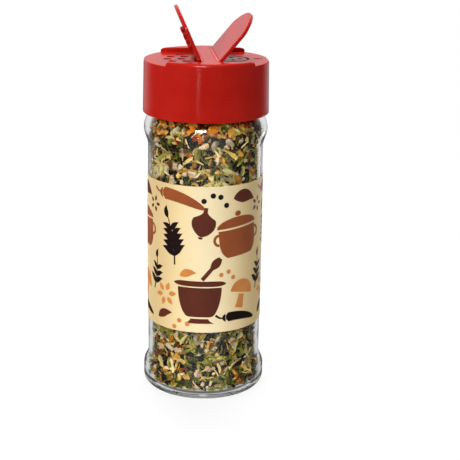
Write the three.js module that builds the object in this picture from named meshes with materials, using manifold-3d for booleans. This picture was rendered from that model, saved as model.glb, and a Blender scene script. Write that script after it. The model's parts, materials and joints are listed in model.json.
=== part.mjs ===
// A spice shaker: a clear glass jar with a paper label, filled with a spice mix, under a red screw cap
// with two hinged flaps. Millimetres, +Z up. The jar stands on z = 0 with its axis on Z, and the cap's
// hinge bar lies along Y: the sifter flap opens on the -X side and the pour flap on the +X side.
import * as THREE from "three";
import { mergeVertices } from "three/addons/utils/BufferGeometryUtils.js";
import Module from "manifold-3d";

const wasm = await Module();
wasm.setup();

// Glass jar, radii from the label panel outwards and inwards
const PANEL_R = 21.5;
const FOOT_BULGE = 1.75;
const SHOULDER_BULGE = 1.55;
const NECK_STEP = 1.9;
const NECK_WALL = 2.4;
const PANEL_WALL = 1.2;
const FOOT_WALL = 1.8;

// Glass jar, heights from the underside up
const FOOT_BAND_HEIGHT = 7.2;
const FOOT_FLARE_HEIGHT = 5.8;
const PANEL_HEIGHT = 81.5;
const SHOULDER_FLARE_HEIGHT = 6.8;
const NECK_HEIGHT = 16.05;
const NECK_BLEND_HEIGHT = 1.8;
const FLOOR_THICKNESS = 2.7;

// Glass jar, rounds and the hollow under the base
const HEEL_ROUND = 3.5;
const FLOOR_ROUND = 3.4;
const SHOULDER_ROUND = 7.6;
const LIP_ROUND = 0.7;
const BEARING_WIDTH = 4.0;
const PUNT_DEPTH = 1.2;

// Screw thread shared by the neck and the cap
const THREAD_PITCH = 4.2;
const THREAD_TURNS = 1.25;
const THREAD_HEIGHT = 1.15;
const NECK_THREAD_WIDTH = 2.0;
const CAP_THREAD_WIDTH = 1.6;
const THREAD_CREST_SHARE = 0.4;
const THREAD_CLEARANCE = 0.35;
const THREAD_SINK = 0.6;
const THREAD_BELOW_MOUTH = 3.2;

// Label and contents
const LABEL_LIFT = 14.2;
const LABEL_HEIGHT = 56.3;
const LABEL_THICKNESS = 0.15;
const LABEL_CLEARANCE = 0.09;
const LABEL_SEAM = 0.6;
const FILL_CLEARANCE = 0.3;
const FILL_HEADSPACE = 11.85;
const FILL_MOUND = 1.2;
const CRUMB_SPACING = 6.6;
const CRUMB_RELIEF = 1.7;
const CRUMB_SEED = 5;

// Sealing ring
const SEAL_THICKNESS = 1.0;
const SEAL_CLEARANCE = 0.1;
const SEAL_EDGE = 0.3;

// Cap shell
const CAP_WALL = 2.0;
const CAP_FLARE = 0.3;
const CAP_EDGE_ROUND = 1.8;
const CAP_HEM_ROUND = 0.5;
const SKIRT_DROP = 0.65;
const DECK_THICKNESS = 1.6;
const RECESS_DEPTH = 1.55;
const SEGMENT_DEPTH = 6.55;
const BAR_HALF_WIDTH = 2.55;
const THUMB_BEVEL_WIDTH = 0.58;
const THUMB_BEVEL_DROP = 1.0;

// Sifter holes and their pegs, in staggered rows
const SIFTER_HOLE_R = 1.5;
const SIFTER_ROW_PITCH = 5.1;
const SIFTER_COLUMN_PITCH = 5.1;
const SIFTER_ROW_STAGGER = 1.5;
const SIFTER_HINGE_DISTANCE = 4.6;
const PEG_CLEARANCE = 0.6;
const PEG_ENTRY = 0.95;

// Ring groove in the deck, the fine holes inside it and their pegs
const GROOVE_R = 6.4;
const GROOVE_WIDTH = 0.9;
const GROOVE_DEPTH = 0.4;
const GROOVE_BAR_GAP = 0.5;
const FINE_HOLE_R = 0.8;
const FINE_PITCH = 2.9;
const FINE_RING_COUNT = 4;
const FINE_PEG_CLEARANCE = 0.36;
const FINE_PEG_ENTRY = 0.5;

// Latch pocket near the rim and the nub that enters it
const LATCH_LENGTH = 3.3;
const LATCH_WIDTH = 1.7;
const LATCH_DEPTH = 0.7;
const LATCH_RIM_GAP = 2.35;
const LATCH_CLEARANCE = 0.4;
const LATCH_ENTRY = 0.4;

// Flaps and their living hinges
const FLAP_THICKNESS = 1.25;
const FLAP_SIDE_CLEARANCE = 0.35;
const WEB_R = 0.25;
const HINGE_CLEARANCE = 0.3;
const SIFTER_FLAP_OPEN_DEG = 66.5;
const POUR_FLAP_OPEN_DEG = 50;

// Steps around rounds
const ROUND_SEGMENTS = 48;
const HOLE_SEGMENTS = 14;
const FINE_SEGMENTS = 10;
const THREAD_STEPS_PER_TURN = 24;
const ARC_STEPS = 4;
const FLARE_STEPS = 4;

// A cut reaches this far past the face that it opens
const CUT_OVERRUN = 1;

// Values that several pieces share
const footR = PANEL_R + FOOT_BULGE;
const shoulderR = PANEL_R + SHOULDER_BULGE;
const neckR = PANEL_R - NECK_STEP;
const boreR = neckR - NECK_WALL;
const panelBottomZ = FOOT_BAND_HEIGHT + FOOT_FLARE_HEIGHT;
const panelTopZ = panelBottomZ + PANEL_HEIGHT;
const shoulderZ = panelTopZ + SHOULDER_FLARE_HEIGHT;
const shoulderCentreR = shoulderR - SHOULDER_ROUND;
const shoulderEndAngle = Math.acos((neckR - shoulderCentreR) / SHOULDER_ROUND);
const neckBaseZ = shoulderZ + SHOULDER_ROUND * Math.sin(shoulderEndAngle);
const mouthZ = neckBaseZ + NECK_HEIGHT;
const roofZ = mouthZ + SEAL_THICKNESS + 2 * SEAL_CLEARANCE;
const deckZ = roofZ + DECK_THICKNESS;
const capTopZ = deckZ + RECESS_DEPTH;
const capBottomZ = neckBaseZ - SKIRT_DROP;
const capInnerR = neckR + THREAD_HEIGHT + THREAD_CLEARANCE;
const capTopR = capInnerR + CAP_WALL;
const capBottomR = capTopR + CAP_FLARE;
const sealInnerR = boreR + SEAL_EDGE;
const sealOuterR = neckR - SEAL_EDGE;
const channelHalfWidth = capTopR - SEGMENT_DEPTH;
const flapHalfWidth = channelHalfWidth - FLAP_SIDE_CLEARANCE;
const hingeX = BAR_HALF_WIDTH + HINGE_CLEARANCE + WEB_R;
const hingeZ = capTopZ - WEB_R;
const flapRootX = hingeX + WEB_R + HINGE_CLEARANCE;
const grooveX = BAR_HALF_WIDTH + GROOVE_BAR_GAP + GROOVE_R;
const latchX = capTopR - LATCH_RIM_GAP - LATCH_LENGTH / 2;
const neckThreadZ = mouthZ - THREAD_BELOW_MOUTH - THREAD_PITCH * THREAD_TURNS;
const capThreadZ = neckThreadZ - THREAD_PITCH / 2;

// Materials
const glass = new THREE.MeshStandardMaterial({ color: 0xdfe8ea, roughness: 0.05, metalness: 0 });
const paper = new THREE.MeshStandardMaterial({ color: 0xd9bd8b, roughness: 0.6, metalness: 0 });
const spice = new THREE.MeshStandardMaterial({ color: 0x6b6a3a, roughness: 0.9, metalness: 0 });
const redPlastic = new THREE.MeshStandardMaterial({ color: 0xc41c17, roughness: 0.3, metalness: 0 });
const whiteFoam = new THREE.MeshStandardMaterial({ color: 0xf2f0ea, roughness: 0.7, metalness: 0 });

// Points of an arc in a profile, from one angle to another in radians.
function arc(centreR, centreZ, radius, from, to, steps = ARC_STEPS) {
  const points = [];
  for (let i = 0; i <= steps; i += 1) {
    const angle = from + ((to - from) * i) / steps;
    points.push(new THREE.Vector2(centreR + radius * Math.cos(angle), centreZ + radius * Math.sin(angle)));
  }
  return points;
}

// Points of a smooth S between two radii and heights, upright at both ends.
function flare(fromR, fromZ, toR, toZ, steps = FLARE_STEPS) {
  const points = [];
  for (let i = 0; i <= steps; i += 1) {
    const along = i / steps;
    const ease = 0.5 - 0.5 * Math.cos(Math.PI * along);
    points.push(new THREE.Vector2(fromR + (toR - fromR) * ease, fromZ + (toZ - fromZ) * along));
  }
  return points;
}

// A profile of (radius, height) points turned round the Z axis, without points that coincide.
function turned(points, segments = ROUND_SEGMENTS) {
  const apart = points.filter((point, i) => i === 0 || point.distanceTo(points[i - 1]) > 1e-4);
  return new THREE.LatheGeometry(apart, segments).rotateX(Math.PI / 2);
}

// A geometry as a solid that can be cut and joined.
function solid(geometry) {
  const bare = geometry.clone();
  bare.deleteAttribute("normal");
  bare.deleteAttribute("uv");
  const merged = mergeVertices(bare, 1e-3);
  const index = merged.index.array;
  const triVerts = [];
  for (let i = 0; i < index.length; i += 3) {
    const [a, b, c] = [index[i], index[i + 1], index[i + 2]];
    if (a !== b && b !== c && c !== a) {
      triVerts.push(a, b, c);
    }
  }
  const vertProperties = new Float32Array(merged.attributes.position.array);
  const mesh = new wasm.Mesh({ numProp: 3, vertProperties, triVerts: new Uint32Array(triVerts) });
  return new wasm.Manifold(mesh);
}

// The finished solid as a geometry.
function geometryOf(body) {
  const { vertProperties, triVerts } = body.getMesh();
  const geometry = new THREE.BufferGeometry();
  geometry.setAttribute("position", new THREE.BufferAttribute(vertProperties, 3));
  geometry.setIndex(new THREE.BufferAttribute(triVerts, 1));
  geometry.computeVertexNormals();
  return geometry;
}

// An upright cylinder between two heights.
function post(radius, fromZ, toZ, x, y, segments) {
  const height = toZ - fromZ;
  const cylinder = new THREE.CylinderGeometry(radius, radius, height, segments);
  return cylinder.rotateX(Math.PI / 2).translate(x, y, fromZ + height / 2);
}

// A box between two corners.
function block(x0, x1, y0, y1, z0, z1) {
  const box = new THREE.BoxGeometry(x1 - x0, y1 - y0, z1 - z0);
  return box.translate((x0 + x1) / 2, (y0 + y1) / 2, (z0 + z1) / 2);
}

// A helical ridge of trapezoid section. It stands on a wall of radius rootR, sinks a little into it,
// and reaches crestR. The crest fades at both ends over a share of a turn.
function threadRidge(rootR, crestR, rootWidth, startZ) {
  const steps = Math.round(THREAD_STEPS_PER_TURN * THREAD_TURNS);
  const outward = Math.sign(crestR - rootR);
  const sunkR = rootR - outward * THREAD_SINK;
  const crestWidth = rootWidth * THREAD_CREST_SHARE;
  const fadeSteps = THREAD_STEPS_PER_TURN / 8;
  const positions = [];
  for (let i = 0; i <= steps; i += 1) {
    const angle = (2 * Math.PI * THREAD_TURNS * i) / steps;
    const z = startZ + (THREAD_PITCH * angle) / (2 * Math.PI);
    const rise = Math.min(1, (Math.min(i, steps - i) + 1) / fadeSteps);
    const topR = rootR + (crestR - rootR) * rise;
    const section = [
      [sunkR, -rootWidth / 2],
      [topR, -crestWidth / 2],
      [topR, crestWidth / 2],
      [sunkR, rootWidth / 2],
    ];
    for (const [r, dz] of section) {
      positions.push(r * Math.cos(angle), r * Math.sin(angle), z + dz);
    }
  }
  const index = [];
  const quad = (a, b, c, d) => index.push(a, b, c, a, c, d);
  for (let i = 0; i < steps; i += 1) {
    for (let k = 0; k < 4; k += 1) {
      const next = (k + 1) % 4;
      quad(4 * i + k, 4 * (i + 1) + k, 4 * (i + 1) + next, 4 * i + next);
    }
  }
  quad(0, 1, 2, 3);
  const last = 4 * steps;
  quad(last + 3, last + 2, last + 1, last);
  if (outward < 0) {
    index.reverse();
  }
  const ridge = new THREE.BufferGeometry();
  ridge.setAttribute("position", new THREE.Float32BufferAttribute(positions, 3));
  ridge.setIndex(index);
  return ridge;
}

// The jar's inside from the floor's middle up to a height in the neck, drawn in by an inset.
function innerProfile(inset, topZ) {
  const footInnerR = footR - FOOT_WALL;
  const cornerR = footInnerR - FLOOR_ROUND;
  const cornerZ = FLOOR_THICKNESS + FLOOR_ROUND;
  const flareBottomZ = Math.max(FOOT_BAND_HEIGHT, cornerZ);
  const flareTopZ = flareBottomZ + FOOT_FLARE_HEIGHT;
  const panelInnerR = PANEL_R - PANEL_WALL;
  return [
    new THREE.Vector2(0, FLOOR_THICKNESS + inset),
    ...arc(cornerR, cornerZ, FLOOR_ROUND - inset, -Math.PI / 2, 0),
    ...flare(footInnerR - inset, flareBottomZ, panelInnerR - inset, flareTopZ),
    ...flare(panelInnerR - inset, shoulderZ, boreR - inset, neckBaseZ + NECK_BLEND_HEIGHT),
    new THREE.Vector2(boreR - inset, topZ),
  ];
}

// The jar's outside from the underside's middle up to the mouth: hollow base, bearing ring, rounded heel,
// foot band, label panel, shoulder and neck.
function outerProfile() {
  const heelCentreR = footR - HEEL_ROUND;
  return [
    ...flare(0, PUNT_DEPTH, heelCentreR - BEARING_WIDTH, 0),
    ...arc(heelCentreR, HEEL_ROUND, HEEL_ROUND, -Math.PI / 2, 0),
    ...flare(footR, FOOT_BAND_HEIGHT, PANEL_R, panelBottomZ),
    ...flare(PANEL_R, panelTopZ, shoulderR, shoulderZ),
    ...arc(shoulderCentreR, shoulderZ, SHOULDER_ROUND, 0, shoulderEndAngle),
    ...arc(neckR - LIP_ROUND, mouthZ - LIP_ROUND, LIP_ROUND, 0, Math.PI / 2),
  ];
}

// Glass jar with the thread on its neck.
function jarGeometry() {
  const lip = arc(boreR + LIP_ROUND, mouthZ - LIP_ROUND, LIP_ROUND, Math.PI / 2, Math.PI);
  const inside = innerProfile(0, mouthZ - LIP_ROUND).reverse();
  const shell = solid(turned([...outerProfile(), ...lip, ...inside]));
  const thread = solid(threadRidge(neckR, neckR + THREAD_HEIGHT, NECK_THREAD_WIDTH, neckThreadZ));
  return geometryOf(shell.add(thread));
}

// Paper label: a band round the panel whose ends meet at a seam at the back.
function labelGeometry() {
  const innerR = PANEL_R + LABEL_CLEARANCE;
  const outerR = innerR + LABEL_THICKNESS;
  const halfSeam = LABEL_SEAM / 2 / outerR;
  const start = Math.PI / 2 + halfSeam;
  const end = Math.PI / 2 - halfSeam + 2 * Math.PI;
  const band = new THREE.Shape();
  band.absarc(0, 0, outerR, start, end, false);
  band.absarc(0, 0, innerR, end, start, true);
  const extrusion = { depth: LABEL_HEIGHT, bevelEnabled: false, curveSegments: ROUND_SEGMENTS };
  return new THREE.ExtrudeGeometry(band, extrusion).translate(0, 0, panelBottomZ + LABEL_LIFT);
}

// Points on a straight run of a profile, no further apart than a step. The run's start is left out.
function divided(from, to, step) {
  const pieces = Math.ceil(from.distanceTo(to) / step);
  return Array.from({ length: pieces }, (_, i) => from.clone().lerp(to, (i + 1) / pieces));
}

// Spice mix: the jar's inside up to its fill level, with a low mound on top. Lumps of leaf stand on its
// sides and top: every corner of the surface lies back by a scattered share of the relief, inwards on the
// sides and downwards on the mound.
function fillGeometry() {
  const levelZ = mouthZ - FILL_HEADSPACE;
  const step = CRUMB_SPACING / 2;
  const [floorMiddle, ...outline] = innerProfile(FILL_CLEARANCE, levelZ);
  const wall = outline.filter((point, i) => i === 0 || point.distanceTo(outline[i - 1]) > 1e-4);
  const rings = wall.flatMap((point, i) => (i === 0 ? [point] : divided(wall[i - 1], point, step)));
  const sideCount = rings.length;
  const moundTop = new THREE.Vector2(0, levelZ + FILL_MOUND);
  rings.push(...divided(rings[sideCount - 1], moundTop, step).slice(0, -1));

  const columns = Math.round((2 * Math.PI * (PANEL_R - PANEL_WALL)) / step);
  const positions = [];
  THREE.MathUtils.seededRandom(CRUMB_SEED);
  rings.forEach((point, row) => {
    for (let column = 0; column < columns; column += 1) {
      const angle = (2 * Math.PI * column) / columns;
      const sink = row === 0 ? 0 : CRUMB_RELIEF * THREE.MathUtils.seededRandom() ** 2;
      const r = row < sideCount ? point.x - sink : point.x;
      const z = row < sideCount ? point.y : point.y - sink;
      positions.push(r * Math.cos(angle), r * Math.sin(angle), z);
    }
  });
  const bottom = rings.length * columns;
  positions.push(0, 0, floorMiddle.y, 0, 0, moundTop.y);

  const index = [];
  for (let column = 0; column < columns; column += 1) {
    const next = (column + 1) % columns;
    index.push(bottom, next, column);
    for (let row = 1; row < rings.length; row += 1) {
      const [low, high] = [(row - 1) * columns, row * columns];
      index.push(low + column, low + next, high + next, low + column, high + next, high + column);
    }
    const last = (rings.length - 1) * columns;
    index.push(last + column, last + next, bottom + 1);
  }
  const fill = new THREE.BufferGeometry();
  fill.setAttribute("position", new THREE.Float32BufferAttribute(positions, 3));
  fill.setIndex(index);
  fill.computeVertexNormals();
  return fill;
}

// Sealing ring between the glass mouth and the cap's roof.
function sealGeometry() {
  const bottomZ = mouthZ + SEAL_CLEARANCE;
  const topZ = bottomZ + SEAL_THICKNESS;
  return turned([
    new THREE.Vector2(sealInnerR, bottomZ),
    new THREE.Vector2(sealOuterR, bottomZ),
    new THREE.Vector2(sealOuterR, topZ),
    new THREE.Vector2(sealInnerR, topZ),
    new THREE.Vector2(sealInnerR, bottomZ),
  ]);
}

// Sifter hole centres as distances from the cap's middle, on as many rows and columns as lie in the bore.
function sifterPlaces() {
  const places = [];
  const reach = sealInnerR - SIFTER_HOLE_R;
  const rows = Math.floor(reach / SIFTER_ROW_PITCH);
  const columns = Math.floor(reach / SIFTER_COLUMN_PITCH);
  for (let row = -rows; row <= rows; row += 1) {
    const stagger = (1 - Math.abs(row % 2)) * SIFTER_ROW_STAGGER;
    for (let column = 0; column < columns; column += 1) {
      const x = hingeX + SIFTER_HINGE_DISTANCE + stagger + column * SIFTER_COLUMN_PITCH;
      const y = row * SIFTER_ROW_PITCH;
      if (Math.hypot(x, y) <= reach) {
        places.push([x, y]);
      }
    }
  }
  return places;
}

// Fine hole centres, in a ring about the groove's middle.
function finePlaces() {
  const places = [];
  for (let i = 0; i < FINE_RING_COUNT; i += 1) {
    const angle = (2 * Math.PI * i) / FINE_RING_COUNT;
    places.push([grooveX + FINE_PITCH * Math.cos(angle), FINE_PITCH * Math.sin(angle)]);
  }
  return places;
}

// An upright prism with a round-ended outline, lying along X about (x, 0).
function roundEnded(length, width, fromZ, toZ, x) {
  const endR = width / 2;
  const halfRun = length / 2 - endR;
  const outline = new THREE.Shape();
  outline.absarc(x + halfRun, 0, endR, -Math.PI / 2, Math.PI / 2, false);
  outline.absarc(x - halfRun, 0, endR, Math.PI / 2, (3 * Math.PI) / 2, false);
  const extrusion = { depth: toZ - fromZ, bevelEnabled: false, curveSegments: FINE_SEGMENTS };
  return new THREE.ExtrudeGeometry(outline, extrusion).translate(0, 0, fromZ);
}

// A wedge along Y that cuts a flat bevel for a thumb off the deck's rim at +X.
function thumbBevel() {
  const [width, drop] = [THUMB_BEVEL_WIDTH, THUMB_BEVEL_DROP];
  const wedge = new THREE.Shape();
  wedge.moveTo(capTopR - 2 * width, deckZ + drop);
  wedge.lineTo(capTopR + width, deckZ - 2 * drop);
  wedge.lineTo(capTopR + width, deckZ + drop);
  const extrusion = { depth: 2 * channelHalfWidth, bevelEnabled: false };
  return new THREE.ExtrudeGeometry(wedge, extrusion).rotateX(Math.PI / 2).translate(0, channelHalfWidth, 0);
}

// Cap shell: skirt and top turned, then the two flap channels, the thumb bevels, the ring groove, the holes
// and the latch pocket cut out.
function capGeometry() {
  const edgeR = capTopR - CAP_EDGE_ROUND;
  const shell = solid(
    turned([
      new THREE.Vector2(0, roofZ),
      new THREE.Vector2(capInnerR, roofZ),
      new THREE.Vector2(capInnerR, capBottomZ),
      ...arc(capBottomR - CAP_HEM_ROUND, capBottomZ + CAP_HEM_ROUND, CAP_HEM_ROUND, -Math.PI / 2, 0, 3),
      ...arc(edgeR, capTopZ - CAP_EDGE_ROUND, CAP_EDGE_ROUND, 0, Math.PI / 2),
      new THREE.Vector2(0, capTopZ),
    ]),
  );
  const beyondX = capBottomR + CUT_OVERRUN;
  const aboveZ = capTopZ + CUT_OVERRUN;
  let cap = shell;
  for (const [fromX, toX] of [
    [-beyondX, -BAR_HALF_WIDTH],
    [BAR_HALF_WIDTH, beyondX],
  ]) {
    const channel = block(fromX, toX, -channelHalfWidth, channelHalfWidth, deckZ, aboveZ);
    cap = cap.subtract(solid(channel));
  }
  for (const turn of [0, Math.PI]) {
    cap = cap.subtract(solid(thumbBevel().rotateZ(turn)));
  }
  const islandR = GROOVE_R - GROOVE_WIDTH;
  const sides = ROUND_SEGMENTS / 2;
  const groove = solid(post(GROOVE_R, deckZ - GROOVE_DEPTH, aboveZ, grooveX, 0, sides));
  const island = solid(post(islandR, roofZ, aboveZ + CUT_OVERRUN, grooveX, 0, sides));
  cap = cap.subtract(groove.subtract(island));
  const belowZ = roofZ - CUT_OVERRUN;
  for (const [x, y] of sifterPlaces()) {
    cap = cap.subtract(solid(post(SIFTER_HOLE_R, belowZ, aboveZ, -x, y, HOLE_SEGMENTS)));
  }
  for (const [x, y] of finePlaces()) {
    cap = cap.subtract(solid(post(FINE_HOLE_R, belowZ, aboveZ, x, y, FINE_SEGMENTS)));
  }
  const pocket = roundEnded(LATCH_LENGTH, LATCH_WIDTH, deckZ - LATCH_DEPTH, aboveZ, latchX);
  cap = cap.subtract(solid(pocket));
  const crestR = capInnerR - THREAD_HEIGHT;
  cap = cap.add(solid(threadRidge(capInnerR, crestR, CAP_THREAD_WIDTH, capThreadZ)));
  return geometryOf(cap);
}

// A flap's plate lying closed along +X, with its hinge axis at the origin.
function plateSolid() {
  const endAngle = Math.asin(flapHalfWidth / capTopR);
  const rootX = flapRootX - hingeX;
  const outline = new THREE.Shape();
  outline.absarc(-hingeX, 0, capTopR, -endAngle, endAngle, false);
  outline.lineTo(rootX, flapHalfWidth);
  outline.lineTo(rootX, -flapHalfWidth);
  const extrusion = { depth: FLAP_THICKNESS, bevelEnabled: false, curveSegments: ROUND_SEGMENTS / 2 };
  return solid(new THREE.ExtrudeGeometry(outline, extrusion).translate(0, 0, WEB_R - FLAP_THICKNESS));
}

// Pegs under a flap, one for each hole, from inside the plate down to a depth under the cap's top.
function withPegs(plate, places, radius, depth, segments) {
  const footZ = WEB_R - depth;
  const rootZ = WEB_R - FLAP_THICKNESS / 2;
  let flap = plate;
  for (const [x, y] of places) {
    flap = flap.add(solid(post(radius, footZ, rootZ, x - hingeX, y, segments)));
  }
  return flap;
}

// Sifter flap with a peg for each sifter hole.
function sifterFlapGeometry() {
  const radius = SIFTER_HOLE_R - PEG_CLEARANCE;
  const depth = RECESS_DEPTH + PEG_ENTRY;
  const places = sifterPlaces().map(([x, y]) => [x, -y]);
  return geometryOf(withPegs(plateSolid(), places, radius, depth, HOLE_SEGMENTS));
}

// Pour flap with a peg for each fine hole and a nub for the latch pocket.
function pourFlapGeometry() {
  const radius = FINE_HOLE_R - FINE_PEG_CLEARANCE;
  const depth = RECESS_DEPTH + FINE_PEG_ENTRY;
  const flap = withPegs(plateSolid(), finePlaces(), radius, depth, FINE_SEGMENTS);
  const nubLength = LATCH_LENGTH - 2 * LATCH_CLEARANCE;
  const nubWidth = LATCH_WIDTH - 2 * LATCH_CLEARANCE;
  const nubFootZ = WEB_R - RECESS_DEPTH - LATCH_ENTRY;
  const nubRootZ = WEB_R - FLAP_THICKNESS / 2;
  const nub = roundEnded(nubLength, nubWidth, nubFootZ, nubRootZ, latchX - hingeX);
  return geometryOf(flap.add(solid(nub)));
}

// Living-hinge web: a thin round cord of plastic along the hinge axis, as long as the flap is wide.
function webGeometry() {
  return new THREE.CylinderGeometry(WEB_R, WEB_R, 2 * flapHalfWidth, FINE_SEGMENTS);
}

function addMesh(parent, name, geometry, material) {
  const mesh = new THREE.Mesh(geometry, material);
  mesh.name = name;
  parent.add(mesh);
  return mesh;
}

const shaker = new THREE.Group();
addMesh(shaker, "glass_jar", jarGeometry(), glass);
addMesh(shaker, "label", labelGeometry(), paper);
addMesh(shaker, "spice_fill", fillGeometry(), spice);
addMesh(shaker, "seal_ring", sealGeometry(), whiteFoam);
addMesh(shaker, "cap_body", capGeometry(), redPlastic);

// Each hinge group points its +X away from the bar, and its flap swings up about the group's Y axis.
for (const [side, turn, openDeg, flapGeometry] of [
  ["sifter", Math.PI, SIFTER_FLAP_OPEN_DEG, sifterFlapGeometry()],
  ["pour", 0, POUR_FLAP_OPEN_DEG, pourFlapGeometry()],
]) {
  const hinge = new THREE.Group();
  hinge.position.set(hingeX * Math.cos(turn), 0, hingeZ);
  hinge.rotation.z = turn;
  addMesh(hinge, `${side}_hinge`, webGeometry(), redPlastic);
  const flap = addMesh(hinge, `${side}_flap`, flapGeometry, redPlastic);
  flap.rotation.y = -THREE.MathUtils.degToRad(openDeg);
  shaker.add(hinge);
}

export default shaker;
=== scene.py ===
import json
import math

import bmesh
import bpy
import numpy as np
from mathutils import Matrix, Vector
from mathutils.geometry import delaunay_2d_cdt


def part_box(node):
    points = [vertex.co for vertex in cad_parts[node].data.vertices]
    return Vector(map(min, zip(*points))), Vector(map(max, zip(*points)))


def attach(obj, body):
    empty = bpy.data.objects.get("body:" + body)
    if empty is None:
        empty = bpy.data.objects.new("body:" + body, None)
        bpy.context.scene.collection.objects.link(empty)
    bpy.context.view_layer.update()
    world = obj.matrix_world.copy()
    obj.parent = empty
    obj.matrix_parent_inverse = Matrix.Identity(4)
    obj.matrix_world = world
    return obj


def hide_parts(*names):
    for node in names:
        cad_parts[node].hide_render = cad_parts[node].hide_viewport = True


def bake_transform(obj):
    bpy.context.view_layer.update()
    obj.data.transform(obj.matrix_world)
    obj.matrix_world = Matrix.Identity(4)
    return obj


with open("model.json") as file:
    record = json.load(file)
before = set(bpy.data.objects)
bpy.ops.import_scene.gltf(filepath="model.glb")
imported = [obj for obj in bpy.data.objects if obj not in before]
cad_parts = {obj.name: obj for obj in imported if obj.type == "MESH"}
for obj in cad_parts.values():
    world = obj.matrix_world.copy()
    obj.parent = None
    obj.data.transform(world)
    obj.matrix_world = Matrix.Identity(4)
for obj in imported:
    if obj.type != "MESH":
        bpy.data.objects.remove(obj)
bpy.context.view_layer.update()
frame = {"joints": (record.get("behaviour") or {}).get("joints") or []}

# Glass jar
# A clear pressed-glass jar with a hollow base, a foot band, a recessed panel for the label, a swelling
# shoulder and a screw neck. One skin runs from under the base, up the outside, over the lip and down
# the inside to the floor.
MM = 0.001


def box(node):
    """The lowest and highest corners of a node at rest, in millimetres."""
    return [np.array(corner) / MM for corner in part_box(node)]


jar_high = box("glass_jar")[1]
FOOT_R = jar_high[0]
MOUTH_Z = jar_high[2]
PANEL_R = 21.5
SHOULDER_R = 23.05
NECK_R = 19.6
BORE_R = 17.2
PANEL_WALL = 1.2
UPPER_WALL = 0.45
FOOT_WALL = 1.3
FLOOR_Z = 2.0
FOOT_Z = 7.2
PANEL_LOW_Z = 13.0
WALL_CHANGE_Z = 66.0
WALL_THIN_Z = 78.0
PANEL_HIGH_Z = 94.5
SHOULDER_Z = 101.3
NECK_Z = 107.667
NECK_BLEND = 1.8
BORE_Z = NECK_Z + NECK_BLEND
HEEL_ROUND = 3.5
FLOOR_ROUND = 2.8
SHOULDER_ROUND = 7.6
SHOULDER_TURN = 56.9
LIP_ROUND = 0.7
BEARING_R = FOOT_R - HEEL_ROUND
BEARING_WIDTH = 4.0
PUNT_R = BEARING_R - BEARING_WIDTH
PUNT_DEPTH = 1.2
CORNER_R = FOOT_R - FOOT_WALL - FLOOR_ROUND
CORNER_Z = FLOOR_Z + FLOOR_ROUND
THREAD_BELOW_MOUTH = 8.45
THREAD_Z = MOUTH_Z - THREAD_BELOW_MOUTH
THREAD_PITCH = 4.2
THREAD_TURNS = 1.25
THREAD_HEIGHT = 1.15
THREAD_RUN_OUT = 0.08
THREAD_HALF = 1.0
THREAD_FLANK = 0.6
JAR_SIDES = 192
WELD_REACH = 0.0005


def together(*columns):
    """Columns of coordinates put side by side as points."""
    return np.stack(np.broadcast_arrays(*columns), axis=-1)


def line(start, end, count):
    """Points on a straight line in the plane of radius and height, without the last one."""
    step = np.linspace(0, 1, count, endpoint=False)[:, None]
    return np.array(start) + step * (np.array(end) - np.array(start))


def flare(start, end, count):
    """Points on an S curve: the height rises evenly and the radius eases by half a cosine wave."""
    step = np.linspace(0, 1, count, endpoint=False)
    ease = (1 - np.cos(math.pi * step)) / 2
    return together(start[0] + ease * (end[0] - start[0]), start[1] + step * (end[1] - start[1]))


def arc(centre, radius, start, end, count):
    """Points on a circle about a centre, from one angle to another in degrees, without the last one."""
    angle = np.radians(np.linspace(start, end, count, endpoint=False))
    return np.array(centre) + radius * together(np.cos(angle), np.sin(angle))


def spin(profile, count, centre=(0.0, 0.0), stretch=0.0, swell=0.0):
    """A profile of radius and height turned about an upright axis: x = r cos a, y = r sin a, z = height.

    Stretch moves the two halves apart along X, so a circle becomes a slot; swell is added to the radius.
    """
    angle = np.linspace(0, math.tau, count, endpoint=False)[:, None]
    radius = profile[None, :, 0] + swell
    x = centre[0] + radius * np.cos(angle) + stretch * np.where(np.cos(angle) >= 0, 1, -1)
    y = centre[1] + radius * np.sin(angle)
    return together(x, y, profile[None, :, 1])


def cells(points, around=False, closed=False):
    """The quads of a grid of points, joined up around the first or the second parameter where asked."""
    rows, columns = points.shape[:2]
    index = np.arange(rows * columns).reshape(rows, columns)
    if around:
        index = np.concatenate([index, index[:1]])
    if closed:
        index = np.concatenate([index, index[:, :1]], axis=1)
    quads = np.stack([index[:-1, :-1], index[1:, :-1], index[1:, 1:], index[:-1, 1:]], axis=-1)
    return points.reshape(-1, 3), quads.reshape(-1, 4).tolist()


def tube(points):
    """The quads of a grid that is closed around its second parameter, with a face over each end."""
    rows, columns = points.shape[:2]
    last = rows * columns
    sheet_points, faces = cells(points, closed=True)
    return sheet_points, faces + [list(range(columns)), list(range(last - 1, last - columns - 1, -1))]


def piece(name, sheets, sharp=40, shade=None):
    """One object from sheets of points in millimetres and their faces, welded where points meet."""
    points = np.concatenate([sheet[0] for sheet in sheets])
    faces = []
    first = 0
    for sheet_points, sheet_faces in sheets:
        faces += [[first + corner for corner in face] for face in sheet_faces]
        first += len(sheet_points)
    mesh = bpy.data.meshes.new(name)
    mesh.from_pydata((points * MM).tolist(), [], faces)
    if shade is not None:
        mesh.attributes.new("shade", "FLOAT", "POINT").data.foreach_set("value", shade.astype(np.float32))
    work = bmesh.new()
    work.from_mesh(mesh)
    bmesh.ops.remove_doubles(work, verts=work.verts, dist=WELD_REACH * MM)
    bmesh.ops.dissolve_degenerate(work, edges=work.edges, dist=WELD_REACH * MM)
    work.to_mesh(mesh)
    work.free()
    mesh.polygons.foreach_set("use_smooth", np.ones(len(mesh.polygons), dtype=bool))
    mesh.set_sharp_from_angle(angle=math.radians(sharp))
    made = bpy.data.objects.new(name, mesh)
    bpy.context.scene.collection.objects.link(made)
    return made


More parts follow.
